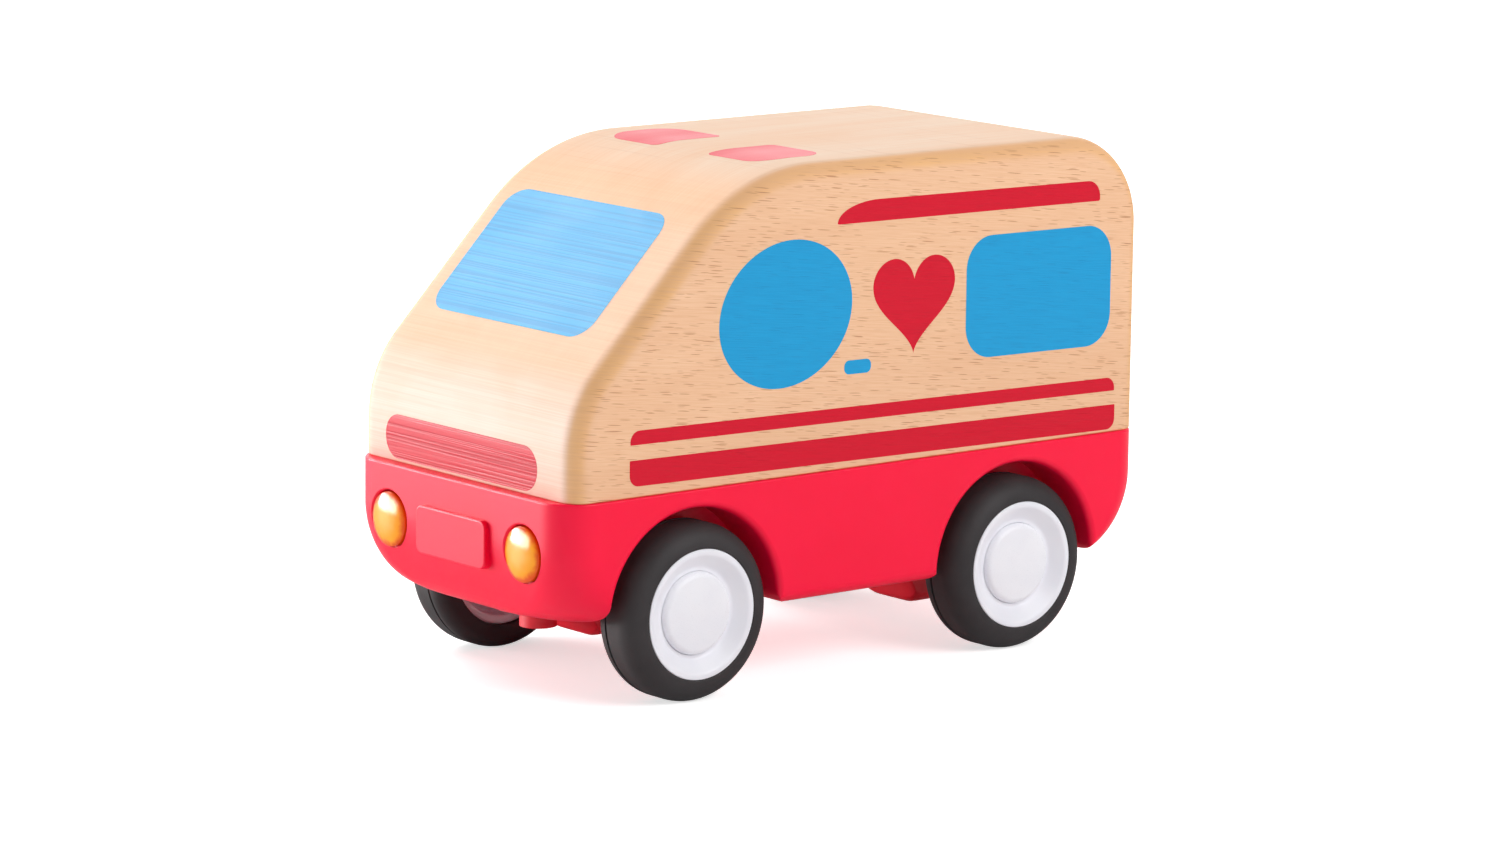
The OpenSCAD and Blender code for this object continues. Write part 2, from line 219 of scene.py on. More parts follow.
def addNode(tree, kind, inputs=None, **settings):
    node = tree.nodes.new(kind)
    for label, value in settings.items():
        setattr(node, label, value)
    return setInputs(node, inputs or {})


def nodeOut(tree, kind, inputs=None, **settings):  # a new node's first output
    return addNode(tree, kind, inputs, **settings).outputs[0]


def mathNode(operation, *values):  # set in the tree of the sockets that it is given
    tree = next(value.id_data for value in values if isinstance(value, bpy.types.NodeSocket))
    return nodeOut(tree, "ShaderNodeMath", dict(enumerate(values)), operation=operation)


def times(first, second):
    return mathNode("MULTIPLY", first, second)


def vectorNode(operation, first, second):
    return nodeOut(first.id_data, "ShaderNodeVectorMath", {0: first, 1: second}, operation=operation)


def joinParts(tree, x=0.0, y=0.0, z=0.0):
    return nodeOut(tree, "ShaderNodeCombineXYZ", {"X": x, "Y": y, "Z": z})


def rampNode(value, low, high, toLow=0.0, toHigh=1.0):
    return addNode(value.id_data, "ShaderNodeMapRange",
                   {"Value": value, "From Min": low, "From Max": high, "To Min": toLow, "To Max": toHigh},
                   interpolation_type="SMOOTHSTEP").outputs["Result"]


def noiseNode(place, detail, scale=1, rough=0.5, twist=0):
    return addNode(place.id_data, "ShaderNodeTexNoise",
                   {"Vector": place, "Scale": scale, "Detail": detail, "Roughness": rough,
                    "Distortion": twist}).outputs["Fac"]


def bumpNode(height, strength, distance):
    return nodeOut(height.id_data, "ShaderNodeBump",
                   {"Height": height, "Strength": strength, "Distance": distance})


def mixColour(factor, first, second):
    sockets = {0: factor}
    for index, colour in ((6, first), (7, second)):
        sockets[index] = colour if isinstance(colour, bpy.types.NodeSocket) else (*colour, 1)
    return addNode(factor.id_data, "ShaderNodeMix", sockets, data_type="RGBA").outputs[2]


def newMaterial(name):
    material = bpy.data.materials.new(name)
    material.use_nodes = True
    tree = material.node_tree
    return material, tree, tree.nodes["Principled BSDF"]


def objectPlace(tree, scale=(1, 1, 1), lean=0):  # object coordinates in mm, turned round Y and scaled
    place = addNode(tree, "ShaderNodeTexCoord").outputs["Object"]
    if lean:
        turn = (0, radians(lean), 0)
        place = nodeOut(tree, "ShaderNodeMapping", {"Vector": place, "Rotation": turn})
    return vectorNode("MULTIPLY", place, [value / mm for value in scale])


def facingParts(tree):  # x, y and z of the stored normals
    facing = addNode(tree, "ShaderNodeAttribute", attribute_name="facing").outputs["Vector"]
    return addNode(tree, "ShaderNodeSeparateXYZ", {0: facing}).outputs


# Beech: its rays show as short flecks on the sides, as fine lines across the front and hardly on
# the roof, where the fibre runs along X. A ramp has its two ends, and then its results where not 0 and 1.

beech = dict(pale=(0.88, 0.555, 0.35), tan=(0.78, 0.44, 0.25), fleck=(0.46, 0.17, 0.07),
             # front, roof and rounded are not wood colours: front is painted light on the nose faces, roof a
             # painted sheen on the top, rounded a painted shade along the rounded edges
             front=(0.90, 0.68, 0.57), roof=(0.80, 0.62, 0.48), rounded=(0.86, 0.47, 0.17),
             fleckSize=(4.8, 40, 0.25), fibreSize=(9, 30, 0.22), roofFibreSize=(25, 0.35, 8),
             toneSize=(80, 16, 11), lineSize=(40, 70, 0.32), lean=6.5,
             wobbleScale=(0.12, 0.05, 0.35), wobbleReach=(0.3, 0.3, 1.6),
             toneAmount=0.45, fibreAmount=0.6, lineAmount=0.07, fleckAmount=0.68,
             rayReach=(0.18, 0.16), rayRamp=(0.05, -0.07), chanceRamp=(0.1, 0.9, 0.25, 1.0),
             fleckRoofRamp=(0.5, 0.95, 1.0, 0.15), fleckFrontRamp=(0.3, 0.7, 1.0, 0.04),
             fibreRamp=(0.36, 0.66), roofFibreRamp=(0.36, 0.66, 0.1, 0.6), fibreTurnRamp=(0.5, 0.9),
             lineRamp=(0.4, 0.62), lineFrontRamp=(0.3, 0.65), toneRamp=(0.3, 0.72),
             plainRamp=(0.4, 0.95, 1.0, 0.4), frontLightRamp=(0.6, 1.0), roofSheenRamp=(0.85, 1.0),
             roundOverShadeRamp=(0.01, 0.22, 0.0, 0.75), fibreRough=0.6, toneTwist=0.6,
             fibreRise=0.4, fleckSink=0.5, lineSink=0.8,
             roughness=0.62, fibreRoughness=0.12, gloss=0.32, relief=0.18, bump=0.00003)


def makeBeechFigure():
    tree = bpy.data.node_groups.new("beechFigure", "ShaderNodeTree")
    for label in ("Fleck", "Fibre", "Line", "Tone", "Height"):
        tree.interface.new_socket(label, in_out="OUTPUT", socket_type="NodeSocketFloat")
    facing = facingParts(tree)

    def sizedPlace(key, lean=0):
        return objectPlace(tree, [1 / size for size in beech[key]], lean)

    wobble = noiseNode(objectPlace(tree, beech["wobbleScale"]), 2).node.outputs["Color"]
    rayPlace = vectorNode("ADD", sizedPlace("fleckSize", beech["lean"]),
                          vectorNode("MULTIPLY", wobble, beech["wobbleReach"]))
    rays = addNode(tree, "ShaderNodeTexVoronoi", {"Vector": rayPlace, "Scale": 1, "Randomness": 1}).outputs
    chance = addNode(tree, "ShaderNodeSeparateColor", {"Color": rays["Color"]}).outputs
    reach = mathNode("MULTIPLY_ADD", chance[0], *beech["rayReach"])
    fleck = rampNode(mathNode("SUBTRACT", rays["Distance"], reach), *beech["rayRamp"])
    for value, ramp in ((chance[1], "chanceRamp"), (facing["Z"], "fleckRoofRamp"),
                        (facing["X"], "fleckFrontRamp")):
        fleck = times(fleck, rampNode(value, *beech[ramp]))
    fibre = noiseNode(sizedPlace("fibreSize", beech["lean"]), 3, rough=beech["fibreRough"])
    roofFibre = noiseNode(sizedPlace("roofFibreSize"), 3, rough=beech["fibreRough"])
    fibre = nodeOut(tree, "ShaderNodeMix", {0: rampNode(facing["Z"], *beech["fibreTurnRamp"]),
                                            2: rampNode(fibre, *beech["fibreRamp"]),
                                            3: rampNode(roofFibre, *beech["roofFibreRamp"])})
    plain = rampNode(facing["X"], *beech["plainRamp"])
    fibre = times(fibre, plain)
    line = rampNode(noiseNode(sizedPlace("lineSize"), 1), *beech["lineRamp"])
    line = times(line, rampNode(facing["X"], *beech["lineFrontRamp"]))
    tone = noiseNode(sizedPlace("toneSize"), 4, twist=beech["toneTwist"])
    tone = times(rampNode(tone, *beech["toneRamp"]), plain)
    height = times(fibre, beech["fibreRise"])
    for part, sink in ((fleck, "fleckSink"), (line, "lineSink")):
        height = mathNode("SUBTRACT", height, times(part, beech[sink]))
    addNode(tree, "NodeGroupOutput", {"Fleck": fleck, "Fibre": fibre, "Line": line, "Tone": tone,
                                      "Height": height})
    return tree


beechFigure = makeBeechFigure()


def addFigure(tree):
    return addNode(tree, "ShaderNodeGroup", node_tree=beechFigure).outputs


def makeBeech():
    material, tree, shader = newMaterial("sandedBeech")
    figure, facing = addFigure(tree), facingParts(tree)
    # The middle of each rounded edge gets a darker orange colour: painted shade, where the edge faces between
    # the lamps
    across = times(facing["Y"], facing["Y"])
    roundOverShade = times(across, mathNode("SUBTRACT", 1.0, across))
    roundOverShade = rampNode(roundOverShade, *beech["roundOverShadeRamp"])
    # Faces towards the nose get a paler colour: painted light
    colour = mixColour(rampNode(facing["X"], *beech["frontLightRamp"]), beech["pale"], beech["front"])
    # Faces towards the top get a paler, greyer colour: a painted sheen, the reflection of the bright lamp
    # above
    colour = mixColour(rampNode(facing["Z"], *beech["roofSheenRamp"]), colour, beech["roof"])
    colour = mixColour(roundOverShade, colour, beech["rounded"])
    for label, amount, tint in (("Tone", "toneAmount", "tan"), ("Fibre", "fibreAmount", "tan"),
                                ("Line", "lineAmount", "fleck"), ("Fleck", "fleckAmount", "fleck")):
        colour = mixColour(times(figure[label], beech[amount]), colour, beech[tint])
    rough = mathNode("MULTIPLY_ADD", figure["Fibre"], beech["fibreRoughness"], beech["roughness"])
    setInputs(shader, {"Base Color": colour, "Roughness": rough, "Specular IOR Level": beech["gloss"],
                       "Normal": bumpNode(figure["Height"], beech["relief"], beech["bump"])})
    return material


# Screen print: the ink covers the colour of the wood, but its rays and fibres still show

ink = dict(blue=(0.010, 0.34, 0.67), blueGrain=(0.005, 0.20, 0.46),
           red=(0.67, 0.001, 0.022), redGrain=(0.47, 0.001, 0.014),
           fibreAmount=0.2, fleckAmount=0.25, lineAmount=0.5, relief=1,
           roughness=0.4, toneRoughness=0.1, gloss=0.25)


def makeInk(name):
    material, tree, shader = newMaterial(name + "Ink")
    figure, colour = addFigure(tree), ink[name]
    for label, amount in (("Fibre", "fibreAmount"), ("Fleck", "fleckAmount"), ("Line", "lineAmount")):
        colour = mixColour(times(figure[label], ink[amount]), colour, ink[name + "Grain"])
    rough = mathNode("MULTIPLY_ADD", figure["Tone"], ink["toneRoughness"], ink["roughness"])
    setInputs(shader, {"Base Color": colour, "Roughness": rough, "Specular IOR Level": ink["gloss"],
                       "Normal": bumpNode(figure["Height"], ink["relief"], beech["bump"])})
    return material


# Moulded plastic: a fine tool texture, faint clouding and small changes in gloss

moulding = dict(cloudRamp=(0.3, 0.7), glossRamp=(0.25, 0.75), glossSpread=(-0.04, 0.05), grainDepth=0.00002)


def makeMoulded(name, finish):
    material, tree, shader = newMaterial(name)
    cloud = noiseNode(objectPlace(tree), 3, 1 / finish["cloudSize"])
    cloud = rampNode(cloud, *moulding["cloudRamp"])
    grain = noiseNode(objectPlace(tree), 2, 1 / finish["grainSize"])
    rough = [finish["roughness"] + spread for spread in moulding["glossSpread"]]
    setInputs(shader, {"Base Color": mixColour(cloud, finish["colour"], finish["clouded"]),
                       "Roughness": rampNode(grain, *moulding["glossRamp"], *rough),
                       "Normal": bumpNode(grain, finish["grain"], moulding["grainDepth"]),
                       "Specular IOR Level": finish["gloss"],
                       "Subsurface Weight": finish.get("soft", 0),
                       "Subsurface Radius": finish.get("softRadius", (1, 0.3, 0.2)),
                       "Subsurface Scale": finish.get("softDepth", 0.0005)})
    return material


# Steel: fine lines along the drawn or rolled direction

steel = dict(dark=0.8, glossRamp=(0.2, 0.8), glossSpread=(-0.06, 0.1), relief=0.2, lineDepth=0.00001)


def makeSteel(name, colour, lines, roughness):
    material, tree, shader = newMaterial(name)
    streak = noiseNode(objectPlace(tree, lines), 4)
    dark = [value * steel["dark"] for value in colour]
    rough = [roughness + spread for spread in steel["glossSpread"]]
    setInputs(shader, {"Base Color": mixColour(streak, colour, dark), "Metallic": 1,
                       "Roughness": rampNode(streak, *steel["glossRamp"], *rough),
                       "Normal": bumpNode(streak, steel["relief"], steel["lineDepth"])})
    return material


# Cabin block

cabin = dict(noseRise=16, screenBack=38.3, tailR=16.7, browR=38.4, noseR=22, edgeR=4,
             arcSteps=24, edgeSteps=10, guard=0.4, footBevel=0.3, inkLift=0.03, inkSink=0.05)
blockLow, blockHigh = nodeBox("body_block")
lift = cabin["inkLift"]
foot, roof = blockLow.z, blockHigh.z - lift
noseX, tailX, halfW = blockHigh.x - lift, blockLow.x + lift, blockHigh.y - lift
cabinCorners = [(tailX, foot), (tailX, roof), (noseX - cabin["screenBack"], roof),
                (noseX, foot + cabin["noseRise"]), (noseX, foot)]
cabinRadii = [0, cabin["tailR"], cabin["browR"], cabin["noseR"], 0]


def makeCabin():
    edgeR, guard = cabin["edgeR"], cabin["guard"]
    half = [(halfW - edgeR - guard, 0)]
    half += [(halfW - edgeR + rise, inset) for rise, inset in quarterRound(edgeR, cabin["edgeSteps"])]
    half.append((halfW, edgeR + guard))
    rows = [(-y, inset) for y, inset in reversed(half)] + half
    points, count = [], 0
    for y, inset in rows:
        path = filletPath(insetCorners(cabinCorners, inset), [r - inset if r else 0 for r in cabinRadii],
                          cabin["arcSteps"], False)
        count = len(path)
        points += [(p.x, y, p.y) for p in path]
    faces = bridgeFaces(len(rows), count, False)
    last = (len(rows) - 1) * count
    faces += [tuple(range(count)), tuple(range(last, last + count))]
    faces.append(tuple(row * count for row in range(len(rows)))
                 + tuple(row * count + count - 1 for row in reversed(range(len(rows)))))
    piece = smoothMesh(meshPiece("cabinBlock", points, faces), 50)
    work = bmesh.new()
    work.from_mesh(piece.data)
    rim = [e for e in work.edges if all(abs(v.co.z - foot * mm) < 1e-6 for v in e.verts)]
    bmesh.ops.bevel(work, geom=rim, offset=cabin["footBevel"] * mm, segments=2, profile=0.5, affect="EDGES")
    work.to_mesh(piece.data)
    work.free()
    return storeFacing(smoothMesh(piece, 50))


beechFinish = makeBeech()
cabinBlock = makeCabin()
dress(cabinBlock, mainBody, beechFinish, "beech", "body_block")
print("cabin block:", len(cabinBlock.data.polygons), "faces")

# Printed shapes. Places are (x, z) on a side. Over the front they are y, and the way along the
# cabin's profile from the foot of its nose.

prints = dict(
    doorWindow=dict(middle=(17.7, 67.1), radii=(15.25, 12.95), turn=165),
    doorHandle=dict(corners=[(4.2, 55.0), (4.2, 57.5), (-2.0, 57.4), (-2.0, 54.9)], radii=[1.1] * 4),
    rearWindow=dict(corners=[(-24.3, 55.0), (-24.3, 77.3), (-59.6, 76.9), (-59.6, 54.5)], radii=[6] * 4),
    upperStripe=dict(corners=[(52.2, 47.3), (52.2, 49.8), (-61.1, 48.2), (-61.1, 45.7)],
                     radii=[0.2, 2, 2, 0.2]),
    lowerStripe=dict(corners=[(52.3, 40.0), (52.3, 44.6), (-61.3, 43.1), (-61.3, 38.5)],
                     radii=[2, 0.2, 0.2, 2]),
    roofStripe=dict(tip=(6.2, 82.15), rear=-56.5, bottom=(82.1, 81.4), top=(85.9, 85.2),
                    leaf=9.5, rearR=3, heelR=0.4, blunt=(0.4, 0.12)),
    heart=dict(middle=(-11.9, 66.1), size=17.4),
    windscreen=dict(across=(-25.1, 20.4), along=(29.8, 58.0), radii=[4.4] * 4),
    grille=dict(across=(-23.5, 21.2), along=(0.6, 8.6), radii=[3.8] * 4),
    leftRoofLight=dict(across=(7.1, 22.6), along=(77.7, 93.2), radii=[1.5, 5, 5, 1.5]),
    rightRoofLight=dict(across=(-22.6, -7.1), along=(77.7, 93.2), radii=[5, 1.5, 1.5, 5]))
printSteps, roundSteps = 14, 96


def addSideInk(store, outline, side):  # a thin film that stands on the wood
    points, faces = store
    count, first = len(outline), len(points)
    for height in (lift, -cabin["inkSink"]):
        points += [Vector((u, side * (halfW + height), v)) for u, v in outline]
    faces.append(tuple(range(first, first + count)))
    faces.append(tuple(range(first + count, first + 2 * count))[::-1])
    faces += [(first + k, first + (k + 1) % count, first + count + (k + 1) % count, first + count + k)
              for k in range(count)]


profilePath = filletPath(cabinCorners, cabinRadii, 4 * cabin["arcSteps"], False)[::-1]


def profilePlace(way):  # the point of the cabin's profile this far from its nose's foot, and the normal there
    for start, end in zip(profilePath, profilePath[1:]):
        run = end - start
        if way <= run.length:
            return start + run.normalized() * way, Vector((run.y, -run.x)).normalized()
        way -= run.length


def addFrontInk(store, shape):  # a film of rows across the front, wrapped over the profile
    points, faces = store
    first = len(points)
    (left, right), (low, high) = shape["across"], shape["along"]
    ways = {low, high} | {low + (high - low) * k / 40 for k in range(41)}
    for radius in shape["radii"]:
        for k in range(1, printSteps):
            shift = radius * (1 - cos(pi / 2 * k / printSteps))
            ways |= {low + shift, high - shift}
    rows = sorted(ways)

    def cornerIn(way, lowR, highR):  # how far a rounded corner draws the edge in
        radius, past = (lowR, low + lowR - way) if way < (low + high) / 2 else (highR, way - high + highR)
        return radius - sqrt(max(0, radius ** 2 - past ** 2)) if past > 0 else 0

    lowLeft, lowRight, highRight, highLeft = shape["radii"]
    for way in rows:
        spot, normal = profilePlace(way)
        ends = (left + cornerIn(way, lowLeft, highLeft), right - cornerIn(way, lowRight, highRight))
        for height in (lift, -cabin["inkSink"]):
            place = spot + normal * height
            points += [Vector((place.x, y, place.y)) for y in ends]
    ring = (0, 1, 3, 2)
    for row in range(len(rows) - 1):
        base = first + 4 * row
        for a, b in zip(ring, ring[1:] + ring[:1]):
            faces.append((base + a, base + b, base + 4 + b, base + 4 + a))
    for base in (first, first + 4 * (len(rows) - 1)):
        faces.append(tuple(base + a for a in ring))


def cornerOutline(shape):
    return filletPath(shape["corners"], shape["radii"], printSteps)


def ovalOutline(shape):
    turn, outline = radians(shape["turn"]), []
    for k in range(roundSteps):
        angle = 2 * pi * k / roundSteps
        a, b = shape["radii"][0] * cos(angle), shape["radii"][1] * sin(angle)
        outline.append(Vector((shape["middle"][0] + a * cos(turn) - b * sin(turn),
                               shape["middle"][1] + a * sin(turn) + b * cos(turn))))
    return outline


def heartOutline(shape):
    raw = []
    for k in range(roundSteps):
        t = 2 * pi * k / roundSteps
        raw.append((16 * sin(t) ** 3,
                    13 * cos(t) - 5 * cos(2 * t) - 2 * cos(3 * t) - cos(4 * t)))
    low, high = min(v for u, v in raw), max(v for u, v in raw)
    scale = shape["size"] / (high - low)
    return [Vector((shape["middle"][0] + u * scale, shape["middle"][1] + (v - (low + high) / 2) * scale))
            for u, v in raw]


def roofStripeOutline(shape):  # a leaf-shaped front end and a rounded rear end
    (tipX, tipZ), rear, leaf = shape["tip"], shape["rear"], shape["leaf"]
    (topFront, topRear), (bottomFront, bottomRear) = shape["top"], shape["bottom"]
    front = []
    for angle in range(0, 91, 6):
        turn = radians(angle)
        front.append(Vector((tipX - leaf + leaf * cos(turn), tipZ + (topFront - tipZ) * sin(turn))))
    end = filletPath([front[-1], (rear, topRear), (rear, bottomRear), (0, bottomFront)],
                     [0, shape["rearR"], shape["heelR"], 0], printSteps, False)
    return front + end[1:-1] + [Vector((tipX - shape["blunt"][0], tipZ - shape["blunt"][1]))]


def makePrints():
    blue, red = ([], []), ([], [])
    for side in bothSides:
        for outline in (ovalOutline(prints["doorWindow"]), cornerOutline(prints["doorHandle"]),
                        cornerOutline(prints["rearWindow"])):
            addSideInk(blue, outline, side)
        for outline in (cornerOutline(prints["upperStripe"]), cornerOutline(prints["lowerStripe"]),
                        roofStripeOutline(prints["roofStripe"]), heartOutline(prints["heart"])):
            addSideInk(red, outline, side)
    addFrontInk(blue, prints["windscreen"])
    for name in ("grille", "leftRoofLight", "rightRoofLight"):
        addFrontInk(red, prints[name])
    return {"blue": blue, "red": red}


for name, store in makePrints().items():
    piece = storeFacing(smoothMesh(meshPiece(name + "Print", *store), 30))
    dress(piece, mainBody, makeInk(name), "beech")
    print(name, "prints:", len(piece.data.polygons), "faces")

# Chassis shell

chassis = dict(wall=2.4, floor=2.2, noseCornerR=7.4, chinCornerR=24, noseRake=5.6, noseRise=15,
               tailCornerR=5, tailRake=15.5, tailRise=15, skirtR=2.2, rimR=0.35, cornerSteps=14,
               archR=18.7, archEdgeR=1.3, archFootR=2.5, housingY=22.35, housingT=1.7, axleX=37.4, axleH=16,
               boreR=2.06, saddle=(12, 5.8), postR=5, screwX=52, screwY=13, screwHeadR=3.05, screwR=1.65,
               screwSeat=24, plateW=20.4, plateH=8.7, plateR=1.6, plateZ=27.9, plateProud=1, plateEdgeR=0.3,
               lensY=19.7, lensZ=27.9, lensSeat=1.6, lensSeatR=5.25, lensStemR=2.02, lensStemL=4,
               lensEdgeR=0.4, leastCornerR=0.5, levelGap=0.05, flareTurn=-84, flareOut=0.05,
               overrun=1, sideOverrun=2, mouthOverrun=4)
shellLow, shellHigh = nodeBox("chassis_shell")
belly, seam, shellHalfW = shellLow.z, shellHigh.z, shellHigh.y
shellNoseX, shellTailX = shellHigh.x - chassis["plateProud"], shellLow.x


def curveIn(z, rise, rake):  # how far a face has curved in at height z
    up = min(1, max(0, (belly + rise - z) / rise))
    return rake * (1 - sqrt(1 - up * up))


def chassisOutline(z, inset):
    noseIn = curveIn(z, chassis["noseRise"], chassis["noseRake"])
    front = shellNoseX - noseIn - inset
    rear = shellTailX + curveIn(z, chassis["tailRise"], chassis["tailRake"]) + inset
    half = shellHalfW - curveIn(z, chassis["skirtR"], chassis["skirtR"]) - inset
    frontR = chassis["noseCornerR"] - inset
    frontR += (chassis["chinCornerR"] - chassis["noseCornerR"]) * noseIn / chassis["noseRake"]
    rearR = max(chassis["tailCornerR"] - inset, chassis["leastCornerR"])
    corners = [(front, half), (rear, half), (rear, -half), (front, -half)]
    path = filletPath(corners, [frontR, rearR, rearR, frontR], chassis["cornerSteps"])
    return [(p.x, p.y, z) for p in path]


def chassisForm(name, low, inset, rounded):
    heights = [belly + chassis["skirtR"] * (1 - cos(radians(a))) for a in range(0, 91, 10)]
    heights += [belly + chassis["noseRise"] * (1 - cos(radians(a))) for a in range(32, 91, 4)]
    heights = [low] + [z for z in heights if z > low + chassis["levelGap"]]
    outlines = [chassisOutline(z, inset) for z in heights]
    if not rounded:
        return loftPiece(name, outlines + [chassisOutline(seam + chassis["overrun"], inset)])
    rimR = chassis["rimR"]
    outlines += [chassisOutline(seam - rimR + rise, inset + pull) for rise, pull in quarterRound(rimR, 5)]
    return loftPiece(name, outlines)


def archFoot(x, side, step):  # rounds the corner between a wheel arch and the underside
    radius, drop = chassis["archFootR"], chassis["axleH"] - belly
    middle = Vector((sqrt((chassis["archR"] + radius) ** 2 - (radius - drop) ** 2), radius - drop))
    turn = degrees(atan2(middle.y, middle.x)) - 90
    outline = [(0, 0), (0, -radius), (middle.x, -radius)]
    outline += [(p.x, p.y) for p in arcPoints(middle, radius, -90, turn, 10)]
    return loftPiece("archFoot", [[(x + step * u, side * y, chassis["axleH"] + v) for u, v in outline]
                                  for y in (chassis["housingY"], shellHalfW + chassis["sideOverrun"])])


def flaredProfile(base, radius, mouth, edgeR):  # a hole's profile whose mouth is rounded outwards
    flare = arcPoints((radius + edgeR, mouth - edgeR), edgeR, 180, chassis["flareTurn"], 10)
    flare, end = [(p.x, p.y) for p in flare], mouth + chassis["mouthOverrun"]
    return base + flare + [(flare[-1][0] + chassis["flareOut"], end), (0, end)]


def makeChassis():
    shell = chassisForm("chassisShell", belly, 0, True)
    combine(shell, chassisForm("cavity", belly + chassis["floor"], chassis["wall"], False))
    inner = chassisForm("inner", belly, 0, True)
    archR, archY, overrun = chassis["archR"], chassis["housingY"], chassis["overrun"]
    under, over, outside = belly - overrun, seam + overrun, shellHalfW + chassis["sideOverrun"]
    housingR, saddleL, saddleH = archR + chassis["housingT"], *chassis["saddle"]
    fittings = None
    for end in bothSides:
        x = end * chassis["axleX"]
        parts = [boxPiece("saddle", (x - saddleL / 2, -archY, under),
                          (x + saddleL / 2, archY, belly + saddleH))]
        for side in bothSides:
            near, far = side * (archY - chassis["housingT"]), side * outside
            parts.append(turnedPiece("housing", [(0, near), (housingR, near), (housingR, far), (0, far)],
                                     (x, 0, chassis["axleH"]), "y", 96))
            post = [(0, under), (chassis["postR"], under), (chassis["postR"], over), (0, over)]
            spot = (end * chassis["screwX"], side * chassis["screwY"], 0)
            parts.append(turnedPiece("post", post, spot, "z", 48))
        for part in parts:
            fittings = combine(fittings, part, "UNION") if fittings else part
    combine(inner, fittings, "INTERSECT")
    combine(shell, inner, "UNION")
    combine(shell, makePlate(), "UNION")
    boreEnd, boreR = archY + overrun, chassis["boreR"]
    bore = [(0, -boreEnd), (boreR, -boreEnd), (boreR, boreEnd), (0, boreEnd)]
    arch = flaredProfile([(0, archY), (archR, archY)], archR, shellHalfW, chassis["archEdgeR"])
    headR, screwR, screwSeat = chassis["screwHeadR"], chassis["screwR"], chassis["screwSeat"]
    sunk = [(0, under), (headR, under), (headR, screwSeat), (screwR, screwSeat), (screwR, over), (0, over)]
    for end in bothSides:
        x = end * chassis["axleX"]
        axle = (x, 0, chassis["axleH"])
        combine(shell, turnedPiece("bore", bore, axle, "y", 48))
        for side in bothSides:
            combine(shell, turnedPiece("arch", [(r, side * y) for r, y in arch], axle, "y", 128))
            for step in bothSides:
                combine(shell, archFoot(x, side, step))
            spot = (end * chassis["screwX"], side * chassis["screwY"], 0)
            combine(shell, turnedPiece("sunk", sunk, spot, "z", 48))
    seat, stemR, seatR = shellNoseX - chassis["lensSeat"], chassis["lensStemR"], chassis["lensSeatR"]
    mouth = shellNoseX - curveIn(chassis["lensZ"], chassis["noseRise"], chassis["noseRake"])
    stemEnd = seat - chassis["lensStemL"]
    profile = flaredProfile([(0, stemEnd), (stemR, stemEnd), (stemR, seat), (seatR, seat)],
                            seatR, mouth, chassis["lensEdgeR"])
    for side in bothSides:
        spot = (0, side * chassis["lensY"], chassis["lensZ"])
        combine(shell, turnedPiece("lensSeat", profile, spot, "x", 64))
    smoothMesh(shell, 40)
    return flattenNormals(shell)


def makePlate():  # the bare raised number plate
    edgeR, front = chassis["plateEdgeR"], shellNoseX + chassis["plateProud"]
    levels = [(shellNoseX - chassis["wall"] / 2, 0)]
    levels += [(front - edgeR + rise, inset) for rise, inset in quarterRound(edgeR, 6)]
    outlines = []
    for x, inset in levels:
        across, up = chassis["plateW"] / 2 - inset, chassis["plateH"] / 2 - inset
        corners = boxCorners((-across, chassis["plateZ"] - up), (across, chassis["plateZ"] + up))
        outline = filletPath(corners, [chassis["plateR"] - inset] * 4, printSteps)
        outlines.append([(x, p.x, p.y) for p in outline])
    return loftPiece("plate", outlines)


redPlastic = makeMoulded("redPlastic", dict(
    colour=(0.99, 0.0005, 0.046), clouded=(0.96, 0.0005, 0.042), roughness=0.36, gloss=0.32,
    grain=0.25, grainSize=0.22, cloudSize=14, soft=0.1, softRadius=(1, 0.05, 0.1), softDepth=0.0008))
chassisShell = makeChassis()
dress(chassisShell, mainBody, redPlastic, "chassis_red", "chassis_shell")
print("chassis shell:", len(chassisShell.data.polygons), "faces")

# Axle covers: the CAD solids with their edges and the ends of their keels rounded

covers = dict(edgeR=0.4, angle=35, plateT=2, keelFrom=0.5, endFrom=3.7, endLift=2.4, endSteps=6)


def roundKeelEnds(work, node):
    low, high = nodeBox(node)
    start, under = covers["endFrom"], high.z - covers["plateT"]
    span, share = high.y - start, covers["endLift"] / (under - low.z)
    for side in bothSides:
        for k in range(covers["endSteps"]):
            y = side * (start + span * sin(pi / 2 * k / covers["endSteps"]))
            bmesh.ops.bisect_plane(work, geom=work.verts[:] + work.edges[:] + work.faces[:], dist=1e-7,
                                   plane_co=(0, y * mm, 0), plane_no=(0, 1, 0))
    for vert in work.verts:
        depth, t = under - vert.co.z / mm, (abs(vert.co.y) / mm - start) / span
        if depth > covers["keelFrom"] and t > 0:
            vert.co.z += depth * share * (1 - sqrt(max(0, 1 - t * t))) * mm


def makeCover(name, node):
    piece = bpy.data.objects.new(name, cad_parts[node].data.copy())
    piece.data.name = name
    scene.collection.objects.link(piece)
    work = bmesh.new()
    work.from_mesh(piece.data)
    bmesh.ops.remove_doubles(work, verts=work.verts, dist=1e-6)
    bmesh.ops.dissolve_limit(work, angle_limit=radians(1), verts=work.verts, edges=work.edges)
    roundKeelEnds(work, node)
    work.to_mesh(piece.data)
    work.free()
    piece.data.shade_smooth()
    change = piece.modifiers.new("edges", "BEVEL")
    change.width, change.segments, change.limit_method = covers["edgeR"] * mm, 2, "ANGLE"
    change.angle_limit = radians(covers["angle"])
    settleMesh(piece)
    piece.data.set_sharp_from_angle(angle=radians(40))
    return flattenNormals(piece)


